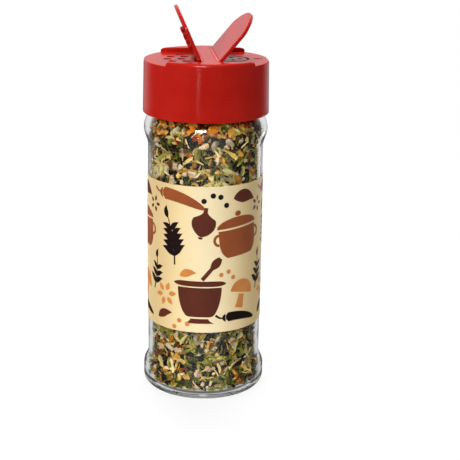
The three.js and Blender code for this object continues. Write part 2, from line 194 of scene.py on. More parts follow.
class Value:
    """A number that varies over a surface: wraps a socket, and arithmetic on it adds Math nodes."""

    def __init__(self, finish, socket):
        self.finish = finish
        self.socket = socket

    def maths(self, operation, first, second):
        return self.finish.add("ShaderNodeMath", {"operation": operation}, {0: first, 1: second}, "Value")

    def __add__(self, other):
        return self.maths("ADD", self, other)

    __radd__ = __add__

    def __sub__(self, other):
        return self.maths("SUBTRACT", self, other)

    def __rsub__(self, other):
        return self.maths("SUBTRACT", other, self)

    def __mul__(self, other):
        return self.maths("MULTIPLY", self, other)

    __rmul__ = __mul__

    def __abs__(self):
        return self.maths("ABSOLUTE", self, 0.0)

    def largest(self, other):
        return self.maths("MAXIMUM", self, other)


class Wiring:
    """A node tree in the making: one method adds any node with its settings and its sockets."""

    def __init__(self, tree):
        self.nodes = tree.nodes
        self.links = tree.links

    def feed(self, node, sockets):
        """Set or link a node's sockets from plain values, wrapped values or sockets."""
        for key, value in sockets.items():
            if isinstance(value, Value):
                self.links.new(value.socket, node.inputs[key])
            elif isinstance(value, bpy.types.NodeSocket):
                self.links.new(value, node.inputs[key])
            else:
                node.inputs[key].default_value = value

    def add(self, kind, settings, sockets, output):
        """Add a node: its settings first, then its sockets. Returns the named output, wrapped."""
        node = self.nodes.new(kind)
        for key, value in settings.items():
            if key == "stops":
                ramp = node.color_ramp
                while len(ramp.elements) < len(value):
                    ramp.elements.new(0.5)
                for element, (place, colour) in zip(ramp.elements, value):
                    element.position = place
                    element.color = colour
            else:
                setattr(node, key, value)
        self.feed(node, sockets)
        return Value(self, node.outputs[output])

    def ray(self, kind):
        """1 on rays of a kind, such as camera, diffuse or shadow rays, and 0 on others."""
        return self.add("ShaderNodeLightPath", {}, {}, "Is " + kind + " Ray")

    def place(self, source="Object"):
        """A point's place on its piece or, from Generated, a ray's way through the room."""
        return self.add("ShaderNodeTexCoord", {}, {}, source)

    def part(self, axis, source="Object"):
        """The X, Y or Z of such a place or way."""
        return self.add("ShaderNodeSeparateXYZ", {}, {"Vector": self.place(source)}, axis)

    def fade(self, value, low, high):
        """A value carried from one range to another and held at its ends: each end pairs old and new."""
        ends = {"From Min": low[0], "From Max": high[0], "To Min": low[1], "To Max": high[1]}
        return self.add("ShaderNodeMapRange", {}, {"Value": value, **ends}, "Result")


class Finish(Wiring):
    """A material in the making, with a Principled shader."""

    def __init__(self, name, constants):
        self.material = bpy.data.materials.new(name)
        self.material.use_nodes = True
        super().__init__(self.material.node_tree)
        self.shader = self.nodes["Principled BSDF"]
        self.feed(self.shader, constants)

    def noise(self, scale, detail=3.0, rough=0.5, stretch=None):
        """Noise on the piece's own coordinates; scale counts waves in a metre."""
        where = self.place()
        if stretch:
            where = self.add("ShaderNodeMapping", {}, {"Vector": where, "Scale": stretch}, "Vector")
        sockets = {"Vector": where, "Scale": scale, "Detail": detail, "Roughness": rough}
        return self.add("ShaderNodeTexNoise", {}, sockets, "Fac")

    def ramp(self, factor, stops):
        """A colour that runs through stops of a place and six hex digits as the factor goes from 0 to 1."""
        colours = [(place, rgb(code)) for place, code in stops]
        return self.add("ShaderNodeValToRGB", {"stops": colours}, {"Fac": factor}, "Color")

    def blend(self, factor, first, second, way="MIX"):
        """Mix two colours, of which each may be a socket or a plain colour."""
        settings = {"data_type": "RGBA", "blend_type": way}
        return self.add("ShaderNodeMix", settings, {0: factor, 6: first, 7: second}, 2)

    def bump(self, height, strength, distance):
        sockets = {"Height": height, "Strength": strength, "Distance": distance * MM}
        return self.add("ShaderNodeBump", {}, sockets, "Normal")

    def coat(self, colour, roughness, normal):
        """Give the shader what varies over the surface."""
        self.feed(self.shader, {"Base Color": colour, "Roughness": roughness, "Normal": normal})

    def mix_in(self, factor, other):
        """Put another shader in place of the Principled one, as far as the factor says."""
        sockets = {0: factor, 1: self.shader.outputs["BSDF"], 2: other}
        mixed = self.add("ShaderNodeMixShader", {}, sockets, "Shader")
        self.feed(self.nodes["Material Output"], {"Surface": mixed})

    def put_on(self, made):
        made.data.materials.clear()
        made.data.materials.append(self.material)


def rgb(code):
    """A colour written as six hex digits, in linear light."""
    parts = np.array([int(code[i:i + 2], 16) for i in (0, 2, 4)]) / 255
    linear = np.where(parts <= 0.04045, parts / 12.92, ((parts + 0.055) / 1.055) ** 2.4)
    return (*linear.tolist(), 1.0)


def settle(made, finish, body, slot, *nodes):
    """Dress a piece, let it ride on a body and stand for the nodes that it replaces. Its slot is not used.
    """
    finish.put_on(made)
    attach(made, body)
    if nodes:
        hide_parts(*nodes)


upper_r = PANEL_R - UPPER_WALL
panel_r = PANEL_R - PANEL_WALL
foot_r = FOOT_R - FOOT_WALL
inner_wall = np.concatenate([
    flare((BORE_R, BORE_Z), (upper_r, SHOULDER_Z), 24),
    line((upper_r, SHOULDER_Z), (upper_r, WALL_THIN_Z), 4),
    flare((upper_r, WALL_THIN_Z), (panel_r, WALL_CHANGE_Z), 8),
    line((panel_r, WALL_CHANGE_Z), (panel_r, PANEL_LOW_Z), 8),
    flare((panel_r, PANEL_LOW_Z), (foot_r, FOOT_Z), 12),
    line((foot_r, FOOT_Z), (foot_r, CORNER_Z), 2),
    arc((CORNER_R, CORNER_Z), FLOOR_ROUND, 0, -90, 12),
    line((CORNER_R, FLOOR_Z), (0, FLOOR_Z), 4),
    [(0, FLOOR_Z)],
])
lip_z = MOUTH_Z - LIP_ROUND
outer_wall = np.concatenate([
    flare((0, PUNT_DEPTH), (PUNT_R, 0), 16),
    line((PUNT_R, 0), (BEARING_R, 0), 2),
    arc((BEARING_R, HEEL_ROUND), HEEL_ROUND, -90, 0, 12),
    line((FOOT_R, HEEL_ROUND), (FOOT_R, FOOT_Z), 3),
    flare((FOOT_R, FOOT_Z), (PANEL_R, PANEL_LOW_Z), 16),
    line((PANEL_R, PANEL_LOW_Z), (PANEL_R, PANEL_HIGH_Z), 6),
    flare((PANEL_R, PANEL_HIGH_Z), (SHOULDER_R, SHOULDER_Z), 16),
    arc((SHOULDER_R - SHOULDER_ROUND, SHOULDER_Z), SHOULDER_ROUND, 0, SHOULDER_TURN, 16),
    line((NECK_R, NECK_Z), (NECK_R, lip_z), 80),
    arc((NECK_R - LIP_ROUND, lip_z), LIP_ROUND, 0, 90, 5),
    arc((BORE_R + LIP_ROUND, lip_z), LIP_ROUND, 90, 180, 5),
    line((BORE_R, lip_z), (BORE_R, BORE_Z), 4),
])
jar_profile = np.concatenate([outer_wall, inner_wall])


def neck_thread(angle, height):
    """A screw ridge: it stands out where the height is near the helix, and fades at both ends of its run."""
    ridge = np.zeros(np.broadcast_shapes(angle.shape, height.shape))
    for turn in range(2):
        along = angle / math.tau + turn
        away = np.abs(height - THREAD_Z - along * THREAD_PITCH)
        end = np.clip(np.minimum(along, THREAD_TURNS - along) / THREAD_RUN_OUT, 0, 1)
        ridge = np.maximum(ridge, end * np.clip((THREAD_HALF - away) / THREAD_FLANK, 0, 1))
    return THREAD_HEIGHT * ridge


jar_angle = np.linspace(0, math.tau, JAR_SIDES, endpoint=False)[:, None]
on_neck = np.abs(jar_profile[None, :, 0] - NECK_R) < 0.01
jar_swell = np.where(on_neck, neck_thread(jar_angle, jar_profile[None, :, 1]), 0)
jar_skin = spin(jar_profile, JAR_SIDES, swell=jar_swell)
glass_jar = piece("jar_glass_skin", [cells(jar_skin, around=True)], sharp=60)

glass = Finish("clear_glass", {"Base Color": rgb("fcfefe"), "IOR": 1.5, "Transmission Weight": 1.0})
glass.feed(glass.shader, {
    "Roughness": 0.01 + 0.03 * glass.noise(90.0, 2.0),
    "Normal": glass.bump(glass.noise(35.0, 1.0), 0.015, 0.6),
})
clear = glass.add("ShaderNodeBsdfTransparent", {}, {"Color": rgb("fafbfb")}, "BSDF")
glass.mix_in(glass.ray("Shadow"), clear)
settle(glass_jar, glass, "jar", "jar_glass", "glass_jar")

# Spice mix
# Loose dried leaf, stalks, salt crystals, seeds and chopped peel and pepper that fill the jar to the
# neck. The crumbs lie in a few layers against the glass and on top, round a solid body that stands for
# the rest of the mix and is painted near black, as painted shade between the crumbs.
CRUMB_SEED = 11
random = np.random.default_rng(CRUMB_SEED)
CRUMB_COUNT = 4000
TOP_COUNT = 300
TOP_SPREAD_R = 12.8
TOP_SINK = 0.9
CRUMB_GAP = 0.05
FINE_BELOW_Z = 14.0
FINE_SIZE = 0.88
LAYER_DEPTH = 1.9
FILL_EDGE_Z = 111.867
FILL_MOUND = box("spice_fill")[1][2] - FILL_EDGE_Z
HIDDEN_LOW_Z = 33.0
HIDDEN_HIGH_Z = 77.0

wall_up = np.concatenate([inner_wall[::-1], [(BORE_R, FILL_EDGE_Z)]])
wall_bend = np.gradient(wall_up, axis=0)
wall_z = wall_up[wall_up[:, 1] > FLOOR_Z + 0.01]


def room(radius, height):
    """Distance from a point inside the jar to its glass: to the floor, its round corner or the wall."""
    corner = FLOOR_ROUND - np.hypot(np.maximum(radius - CORNER_R, 0), np.minimum(height - CORNER_Z, 0))
    wall = np.interp(height, wall_z[:, 1], wall_z[:, 0]) - radius
    return np.where(height < CORNER_Z, corner, wall)


def spread(count):
    """Even, unrepeating places in a unit square, by adding two irrational steps for each place."""
    number = np.arange(count)[:, None]
    return (0.5 + number * np.array([0.7548776662, 0.5698402910])) % 1.0


def between(low, high, shape):
    return random.uniform(low, high, shape)


def rotated(a, b, angle):
    """Two coordinates turned in their plane by an angle: a cos - b sin and a sin + b cos."""
    return a * np.cos(angle) - b * np.sin(angle), a * np.sin(angle) + b * np.cos(angle)


def crumbs(count, length, width, thick, rows, around, uneven, curl):
    """Closed crumbs: an oval section of some sides, widened and narrowed along a length, then bent.

    Rows holds the share of the length and of the width at each section; it starts and ends at a point.
    The length is bowed by its square, the sides fold up from the middle line and the sections twist.
    """
    rows = np.array(rows)
    each = (count, 1, 1)
    size = length[0] + (length[1] - length[0]) * between(0, 1, each) ** 1.6
    broad = size * between(*width, each)
    deep = between(*thick, each)
    share = rows[None, :, 1, None] * between(1 - uneven, 1 + uneven, (count, len(rows), 1))
    angle = -math.tau * (np.arange(around) + 0.5) / around
    wobble = between(1 - uneven, 1 + uneven, (count, len(rows), around))
    along = size * (rows[None, :, 0, None] - 0.5)
    across = broad / 2 * share * np.cos(angle) * wobble
    high = deep / 2 * share * np.sin(angle) * wobble
    high = high + between(-curl, curl, each) * along ** 2 / size
    high = high + 1.8 * between(-curl, curl, each) * np.abs(across)
    across, high = rotated(across, high, 2.4 * between(-curl, curl, each) * along / size)
    across = across + between(-0.3, 0.3, each) * along ** 2 / size
    return together(along, across, high)


def turned(local, side, up, out, tilt):
    """Crumbs turned about the way out by any angle and tipped by a few degrees, in the three given axes."""
    count = len(local)
    spin_by = between(0, math.tau, count)[:, None, None]
    tip = np.radians(random.normal(0, tilt, (2, count)))[:, :, None, None]
    a, b = rotated(local[..., 0], local[..., 1], spin_by)
    a, c = rotated(a, local[..., 2], tip[0])
    b, c = rotated(b, c, tip[1])
    return sum(part[..., None] * axis[:, None, None, :] for part, axis in [(a, side), (b, up), (c, out)])


def against_glass(local, where, depth, tilt):
    """Crumbs laid on the inside of the glass: each is pushed along the wall's normal to its own depth.

    The finer ones have settled in the foot.
    """
    count = len(local)
    seen = (wall_up[:, 1] < HIDDEN_LOW_Z) | (wall_up[:, 1] > HIDDEN_HIGH_Z)
    band = np.hypot(*np.diff(wall_up, axis=0).T) * (wall_up[1:, 0] + wall_up[:-1, 0])
    area = np.concatenate([[0], np.cumsum(band * (seen[1:] & seen[:-1]))])
    index = np.arange(len(area))
    place = np.interp(where[:, 0], area / area[-1], index)
    columns = [*wall_up.T, *wall_bend.T]
    radius, height, bend_r, bend_z = (np.interp(place, index, column)[:, None] for column in columns)
    length = np.hypot(bend_r, bend_z)
    angle = math.tau * where[:, 1]
    flat = together(np.cos(angle), np.sin(angle), 0)
    side = together(-np.sin(angle), np.cos(angle), 0)
    rise = np.array([0.0, 0.0, 1.0])
    up = (flat * bend_r + rise * bend_z) / length
    out = (flat * bend_z - rise * bend_r) / length
    base = flat * radius + rise * height
    local = local * np.where(height < FINE_BELOW_Z, FINE_SIZE, 1.0)[:, :, None, None]
    points = base[:, None, None, :] + turned(local, side, up, out, tilt)
    for again in range(3):
        least = room(np.hypot(points[..., 0], points[..., 1]), points[..., 2]).reshape(count, -1).min(axis=1)
        points = points + ((least - CRUMB_GAP - depth)[:, None] * out)[:, None, None, :]
    return points


def on_top(local, where, tilt):
    """Crumbs strewn over the heap: height falls with the square of the radius from the mound's top."""
    radius = TOP_SPREAD_R * np.sqrt(where[:, 0])
    angle = math.tau * where[:, 1]
    height = FILL_EDGE_Z - TOP_SINK + FILL_MOUND * (1 - (radius / BORE_R) ** 2)
    base = together(radius * np.cos(angle), radius * np.sin(angle), height)
    axes = np.broadcast_to(np.eye(3)[:, None, :], (3, len(local), 3))
    return base[:, None, None, :] + turned(local, *axes, tilt)


BLADE = [(0.0, 0.0), (0.05, 0.6), (0.25, 0.95), (0.5, 1.0), (0.75, 0.85), (0.95, 0.5), (1.0, 0.0)]
STALK = [(0.0, 0.0), (0.0, 0.9), (0.35, 1.0), (0.7, 0.8), (1.0, 0.6), (1.0, 0.0)]
BLOCK = [(0.0, 0.0), (0.04, 0.8), (0.6, 1.0), (0.97, 0.75), (1.0, 0.0)]
SEED = [(0.0, 0.0), (0.08, 0.5), (0.28, 0.9), (0.5, 1.0), (0.72, 0.88), (0.92, 0.48), (1.0, 0.0)]
mix = [
    # name, share, length, width share, thickness, rows, sides, unevenness, curl, tilt, roughness, colours
    ("herb_leaf", 0.49, (4.2, 11.0), (0.18, 0.47), (0.12, 0.3), BLADE, 6, 0.26, 0.5, 34, 0.6,
     ("0e0f01", "323304", "54540c", "746f22", "958d3a", "bdae70")),
    ("stalk_sliver", 0.1, (2.6, 8.6), (0.1, 0.24), (0.35, 0.9), STALK, 5, 0.2, 0.16, 20, 0.55,
     ("855f1c", "b08a38", "c7a659", "d2b576", "d7c091")),
    ("salt_crystal", 0.1, (1.8, 3.9), (0.6, 0.95), (1.0, 2.2), BLOCK, 5, 0.24, 0.05, 40, 0.28,
     ("7d6951", "a18b6f", "bba686", "ccba9a", "c09d78")),
    ("seed_grain", 0.07, (1.6, 3.6), (0.55, 0.9), (1.0, 2.0), SEED, 6, 0.2, 0.08, 34, 0.5,
     ("94651b", "bb8d37", "ccaa57", "d3b772", "a47123")),
    ("pepper_chip", 0.05, (1.8, 4.6), (0.45, 0.9), (0.3, 0.7), BLADE, 6, 0.3, 0.4, 34, 0.4,
     ("601503", "8f3506", "ae560b", "bd7116", "c68b2d")),
    ("dark_petal", 0.07, (2.0, 5.6), (0.35, 0.75), (0.15, 0.5), BLADE, 6, 0.28, 0.5, 32, 0.55,
     ("040201", "120a02", "241307", "463236", "0e0702")),
    ("brown_husk", 0.07, (1.6, 5.0), (0.3, 0.8), (0.3, 0.9), BLADE, 5, 0.3, 0.4, 34, 0.6,
     ("1d0b01", "4a2405", "74440e", "986721", "ae8338")),
    ("fine_crumb", 0.05, (0.9, 1.9), (0.5, 0.95), (0.4, 1.0), BLOCK, 5, 0.3, 0.2, 45, 0.6,
     ("1a1301", "60540e", "91691d", "bd9340", "d0b478")),
]
RED_KINDS = [4, 6]
RED_ABOVE = 0.86
RED_SHARE = 0.6
TIP_FADE = 0.25
EDGE_PAINTED_HIGHLIGHT = 0.22
DEPTH_PAINTED_SHADE = 0.6
MOTTLE = 0.06
mix_shares = [row[1] for row in mix]
crumb_where = spread(CRUMB_COUNT)
crumb_kind = random.choice(len(mix), CRUMB_COUNT, p=mix_shares)
# Near the top many crumbs become the red kinds: real pepper and husk, set there as a painted reflection of
# the red cap in the glass shoulder.
red_reflection_stand_in = (crumb_where[:, 0] > RED_ABOVE) & (between(0, 1, CRUMB_COUNT) < RED_SHARE)
crumb_kind = np.where(red_reflection_stand_in, random.choice(RED_KINDS, CRUMB_COUNT), crumb_kind)
crumb_depth = LAYER_DEPTH * between(0, 1, CRUMB_COUNT) ** 1.7
top_where = spread(TOP_COUNT)
top_kind = random.choice(len(mix), TOP_COUNT, p=mix_shares)

for kind, (name, _, *shape, tilt, rough, tones) in enumerate(mix):
    rows, around = shape[3:5]
    chosen = crumb_kind == kind
    strewn = top_kind == kind
    walls = against_glass(crumbs(chosen.sum(), *shape), crumb_where[chosen], crumb_depth[chosen], tilt)
    tops = on_top(crumbs(strewn.sum(), *shape), top_where[strewn], tilt)
    heap = np.concatenate([walls, tops])
    one_points, one_faces = cells(heap[0], closed=True)
    first_corner = len(one_points) * np.arange(len(heap))[:, None, None]
    heap_faces = (np.array(one_faces)[None] + first_corner).reshape(-1, 4).tolist()
    fade = between(-TIP_FADE, TIP_FADE, (len(heap), 1, 1)) * (np.array(rows)[None, :, 0, None] - 0.5)
    # Painted highlight: each crumb is lighter along its two edges and darker along its middle line, as where
    # curled edges catch the light.
    edge = EDGE_PAINTED_HIGHLIGHT * (np.abs(np.cos(math.tau * (np.arange(around) + 0.5) / around)) - 0.5)
    # Painted shade: crumbs that lie deeper from the glass are coloured darker, as where the heap shades
    # them.
    depth = np.concatenate([crumb_depth[chosen] / LAYER_DEPTH, np.zeros(strewn.sum())])[:, None, None]
    shade = between(0, 1, (len(heap), 1, 1)) + fade + edge - DEPTH_PAINTED_SHADE * depth
    shade = shade + between(-MOTTLE, MOTTLE, heap.shape[:3])
    sharp = 25 if rows is BLOCK else 38
    heap_piece = piece(name, [(heap.reshape(-1, 3), heap_faces)], sharp=sharp, shade=shade.ravel())

    crumb = Finish(name, {"IOR": 1.45, "Specular IOR Level": 0.04})
    tone = crumb.add("ShaderNodeAttribute", {"attribute_name": "shade"}, {}, "Fac")
    fleck = crumb.noise(750.0, 4.0, 0.6)
    stops = [(i / (len(tones) - 1), code) for i, code in enumerate(tones)]
    body_colour = crumb.ramp(tone * 1.1 + 0.5 * fleck - 0.09, stops)
    grain = crumb.ramp(crumb.noise(2200.0, 3.0, 0.65), [(0.3, "b4a480"), (0.5, "ffffff")])
    crumb.coat(
        crumb.blend(0.8, body_colour, grain, "MULTIPLY"),
        rough - 0.12 + 0.24 * fleck,
        crumb.bump(crumb.noise(1500.0, 3.0, 0.6), 0.6, 0.2),
    )
    settle(heap_piece, crumb, "jar", "spice_mix")

CORE_INSET = 2.8
CORE_LIFT = 1.6
CORE_SINK = 1.9
core_edge_z = FILL_EDGE_Z - CORE_SINK
core_radius = np.maximum(wall_up[:, 0] - CORE_INSET * (wall_up[:, 0] > 0), 0)
core_top_r = (BORE_R - CORE_INSET) * np.cos(np.radians(np.linspace(0, 90, 10, endpoint=False)))
core_profile = np.concatenate([
    together(core_radius, np.maximum(wall_up[:, 1], FLOOR_Z + CORE_LIFT)),
    together(core_top_r, core_edge_z + FILL_MOUND * (1 - (core_top_r / BORE_R) ** 2)),
    [(0, core_edge_z + FILL_MOUND)],
])
spice_core = piece("spice_core", [cells(spin(core_profile, 96), around=True)], sharp=60)
# Painted shade: the core is coloured near black, standing for the shaded spice seen in the gaps between the
# crumbs.
core_painted_shade = Finish("spice_core_painted_shade", {"Roughness": 0.85, "Specular IOR Level": 0.02})
lump = core_painted_shade.noise(420.0, 4.0, 0.65)
core_painted_shade.feed(core_painted_shade.shader, {
    "Base Color": core_painted_shade.ramp(lump, [(0.3, "040201"), (0.55, "110a02"), (0.75, "291c06")]),
    "Normal": core_painted_shade.bump(lump, 1.0, 1.2),
})
settle(spice_core, core_painted_shade, "jar", "spice_mix", "spice_fill")

# Label
# A coated paper band round the panel, its ends meeting at a seam at the back. It is printed in four inks
# with garden and kitchen motifs, three times round; each ink is a film on the paper.
label_low, label_high = box("label")
LABEL_R = label_high[0]
LABEL_LOW_Z = label_low[2]
LABEL_HIGH_Z = label_high[2]
LABEL_THICK = 0.15
LABEL_SEAM = 0.6
PAPER_EDGE = 0.03
PRINT_REPEATS = 3
INK_LIFT = 0.04
INK_STEP = 0.7

print_width = math.tau * LABEL_R / PRINT_REPEATS
label_middle_z = (LABEL_LOW_Z + LABEL_HIGH_Z) / 2


def wrapped(flat, radius):
    """A flat drawing bent round the jar: across becomes the angle from the front, up becomes height."""
    angle = flat[..., 0] / LABEL_R
    return together(radius * np.sin(angle), -radius * np.cos(angle), flat[..., 1])


label_half = math.pi * LABEL_R - LABEL_SEAM / 2
paper_back = LABEL_R - LABEL_THICK
paper_face = LABEL_R - PAPER_EDGE
paper_section = np.array([
    (paper_back, LABEL_LOW_Z), (paper_face, LABEL_LOW_Z), (LABEL_R, LABEL_LOW_Z + PAPER_EDGE),
    (LABEL_R, label_middle_z), (LABEL_R, LABEL_HIGH_Z - PAPER_EDGE), (paper_face, LABEL_HIGH_Z),
    (paper_back, LABEL_HIGH_Z), (paper_back, label_middle_z),
])
paper_flat = together(np.linspace(-label_half, label_half, 193)[:, None], paper_section[None, :, 1])
label_paper = piece("label_sheet", [tube(wrapped(paper_flat, paper_section[None, :, 0]))], sharp=40)

paper = Finish("coated_paper", {"IOR": 1.45, "Specular IOR Level": 0.35})
fibre = paper.noise(700.0, 4.0, 0.6, (1.0, 1.0, 0.35))
# Painted light and shade: the paper is coloured lighter at the middle of each of the three repeats, one of
# which faces the front, and darker towards their sides.
paper_x = paper.part("X")
paper_turn = paper_x.maths("ARCTAN2", paper_x, -1.0 * paper.part("Y"))
repeat_middle_painted_light = 0.5 + 0.5 * paper_x.maths("COSINE", PRINT_REPEATS * paper_turn, 0.0)
paper_and_painted_light = paper.ramp(
    0.85 * repeat_middle_painted_light + 0.15 * paper.noise(60.0, 3.0), [(0.0, "d0b47c"), (0.5, "ecd39f"), (1.0, "fae8bd")]
)
paper.coat(
    paper.blend(0.10 * fibre, paper_and_painted_light, rgb("cfae7a")), 0.42 + 0.16 * fibre, paper.bump(fibre, 0.12, 0.05)
)
settle(label_paper, paper, "jar", "label_paper", "label")


def normals(run):
    """Unit normals to the left of each step of a path."""
    return together(-run[:, 1], run[:, 0]) / np.hypot(*run.T)[:, None]


def stroke(path, half_width):
    """A printed band: points of a path moved to both sides along its normal by the half width there."""
    half = np.broadcast_to(half_width, len(path))
    across = np.linspace(-1, 1, 2 * math.ceil(half.max() / INK_STEP) + 3)
    aside = normals(np.gradient(path, axis=0))
    return path[:, None, :] + (across[None, :] * half[:, None])[..., None] * aside[:, None, :]


def steps(count):
    return np.linspace(0.001, 0.999, count)


def upright(t, low, height):
    """A path straight up, or down where the height is negative."""
    return together(0, low + height * t)


def dome(t, least=0.0):
    """Half the width of a round that closes at t = 1: the root of 1 - t squared."""
    return np.sqrt(np.clip(1 - t ** 2, least, 1))


def leaf(length, width, bend=0.12):
    """A leaf from its foot at the origin: width follows the sine of the length, drawn out to the tip."""
    t = steps(22)
    path = together(length * t, bend * length * np.sin(math.pi * t))
    return [stroke(path, width / 2 * np.sin(math.pi * t ** 0.8))]


def moved(bands, x=0.0, y=0.0, turn=0.0):
    """Bands turned by degrees, then shifted on the flat print."""
    angle = math.radians(turn)
    return [together(*rotated(band[..., 0], band[..., 1], angle)) + [x, y] for band in bands]


def sprig(length, pairs, leaf_size):
    """A twig with leaves in pairs that grow shorter to the tip, and one at the end."""
    t = steps(30)
    bands = [stroke(together(0.05 * length * np.sin(math.pi * t), length * t), 0.34 - 0.16 * t)]
    for pair in range(pairs):
        share = 0.18 + 0.66 * pair / pairs
        foot = (0.05 * length * math.sin(math.pi * share), length * share)
        size = leaf_size * (1 - 0.45 * share)
        bands += moved(leaf(size, 0.42 * size), *foot, 38)
        bands += moved(leaf(size, 0.42 * size, -0.12), *foot, 142)
    return bands + moved(leaf(0.7 * leaf_size, 0.3 * leaf_size), 0, length - 0.6, 88)


def chilli(length, width):
    """A pepper pod: a bent band that narrows to its tip, with a cap and a hooked stalk."""
    t = steps(40)
    path = together(length * t, -0.32 * length * t ** 2)
    pod = stroke(path, width / 2 * np.sqrt(np.clip(1 - t ** 2.2, 0, 1)) * np.clip(t / 0.06, 0.55, 1))
    cap = stroke(together(-1.5 + 1.35 * t, 0.1 - 0.1 * t), 0.25 + 0.4 * width * t ** 0.6)
    stalk = stroke(together(-1.3 - 2.6 * t, 0.1 + 1.7 * t ** 2), 0.28 + 0.16 * t)
    return [pod, cap, stalk]


def mortar(width, height):
    """A mortar and pestle: a deep bowl under a thick rim, on a foot, with the pestle leaning out of it."""
    t = steps(36)
    bowl = stroke(upright(t, 0, height), width * (0.22 + 0.22 * np.sqrt(np.sin(math.pi * t / 2))))
    rim_path = together(width * (t - 0.5) * 1.06, height + 1.5)
    rim = stroke(rim_path, 0.95 * (1 - (2 * t - 1) ** 8) + 0.1)
    foot = stroke(upright(t, -0.7, -1.9), width * (0.18 + 0.12 * t ** 2))
    lean = together(width * (0.05 + 0.36 * t), height + 3.1 + 0.72 * height * t)
    pestle = stroke(lean, 0.75 + 0.9 * np.sin(math.pi * np.clip((t - 0.52) / 0.48, 0, 1)) * (t > 0.52))
    return [bowl, rim, foot, pestle]


def pot(width, height):
    """A round stew pot with a domed lid, a knob and two ears."""
    t = steps(36)
    body = stroke(upright(t, 0, height), width / 2 * (1 - 0.34 * (1 - t) ** 5))
    lid = stroke(upright(t, height + 0.7, 0.36 * height), width * 0.53 * dome(t))
    knob = stroke(upright(t, 1.36 * height + 0.9, 2.0), 1.25 * dome(2 * t - 1, 0.02))
    turn = math.pi * (t - 0.5)
    ear_x = width / 2 + 1.7 * np.cos(turn)
    ear_y = 0.68 * height + 1.9 * np.sin(turn)
    return [body, lid, knob, *(stroke(together(side * ear_x, ear_y), 0.5) for side in (-1, 1))]


def bulb(width):
    """A garlic bulb: round below, drawn in to a neck above, on a short root."""
    t = steps(40)
    shape = np.where(t < 0.62, np.sin(math.pi * np.clip(t / 0.92, 0, 1)) ** 0.62, 0)
    neck = 0.17 + (shape[t < 0.62][-1] - 0.17) * np.clip((0.86 - t) / 0.24, 0, 1) ** 1.7
    path = together(0.5 * np.sin(2.2 * t), 1.25 * width * t)
    root = stroke(upright(t, -0.9, 0.8), 0.5 + 0.5 * t)
    return [stroke(path, width / 2 * np.where(t < 0.62, shape, neck)), root]


def mushroom(width):
    """A mushroom: a half-round cap over a stalk that widens to its foot."""
    t = steps(30)
    cap = stroke(upright(t, 0, 0.5 * width), width / 2 * dome(t) ** 0.9)
    stalk = stroke(upright(t, -0.6, -0.52 * width), width * (0.13 + 0.05 * t ** 2))
    return [cap, stalk]


def blossom(size, petals):
    """A flower: narrow leaves set round a point."""
    bands = []
    for turn in 360 * np.arange(petals) / petals:
        foot = (0.16 * size * math.cos(math.radians(turn)), 0.16 * size * math.sin(math.radians(turn)))
        bands += moved(leaf(0.36 * size, 0.2 * size, 0.0), *foot, turn)
    return bands


def berries(count, reach, size):
    """Small round seeds along a shallow arc."""
    t = steps(14)
    bands = []
    for share in np.arange(count) / (count - 1) - 0.5:
        path = together(reach * share, -1.4 * reach * share ** 2 + size * (t - 0.5))
        bands.append(stroke(path, size / 2 * dome(2 * t - 1, 0.02)))
    return bands


INKS = {"ink_dark": "24100f", "ink_brown": "6b2a12", "ink_russet": "a8541f", "ink_orange": "e6913e"}
motifs = [
    ("ink_brown", mortar(19.0, 11.5), -3.6, -22.0, 0),
    ("ink_russet", pot(16.6, 10.6), 12.4, 1.2, 5),
    ("ink_dark", sprig(18.4, 5, 7.0), -13.4, -2.4, 10),
    ("ink_russet", chilli(17.0, 4.6), -19.0, 24.4, 2),
    ("ink_brown", bulb(9.0), -3.4, 9.2, -8),
    ("ink_orange", mushroom(10.4), 13.4, -13.6, -12),
    ("ink_dark", chilli(13.4, 3.6), 6.6, -22.6, 8),
    ("ink_brown", leaf(10.4, 5.0), 9.0, 23.2, -8),
    ("ink_dark", sprig(13.0, 3, 5.4), 21.4, -14.0, -8),
    ("ink_orange", blossom(9.6, 6), -17.6, -14.6, 10),
    ("ink_brown", blossom(6.4, 5), 21.6, 19.2, 0),
    ("ink_orange", leaf(6.6, 3.0), -11.2, -6.4, 14),
    ("ink_dark", berries(4, 8.6, 2.0), 2.6, 24.8, -12),
    ("ink_orange", berries(3, 5.6, 1.8), -11.4, -24.0, 18),
    ("ink_brown", leaf(7.6, 3.2), -21.4, -24.6, 24),
    ("ink_orange", berries(3, 5.0, 1.7), 7.4, -4.6, -16),
]
for layer, (ink_name, ink_colour) in enumerate(INKS.items()):
    bands = []
    for repeat in range(PRINT_REPEATS):
        for motif_ink, motif, x, y, turn in motifs:
            if motif_ink == ink_name:
                bands += moved(motif, x + (repeat - 1) * print_width, y + label_middle_z, turn)
    ink_radius = LABEL_R + INK_LIFT * (1 + layer) / len(INKS)
    printed = piece(ink_name, [cells(wrapped(band, ink_radius)) for band in bands], sharp=60)
    ink = Finish(ink_name, {"IOR": 1.5, "Specular IOR Level": 0.4})
    dots = ink.noise(1500.0, 3.0, 0.6)
    dark = ink.blend(1.0, rgb(ink_colour), rgb("c9c3bd"), "MULTIPLY")
    ink_tint = ink.blend(ink.noise(160.0, 3.0), dark, rgb(ink_colour))
    ink.coat(ink_tint, 0.38 + 0.14 * dots, ink.bump(dots, 0.1, 0.03))
    settle(printed, ink, "jar", "label_paper")

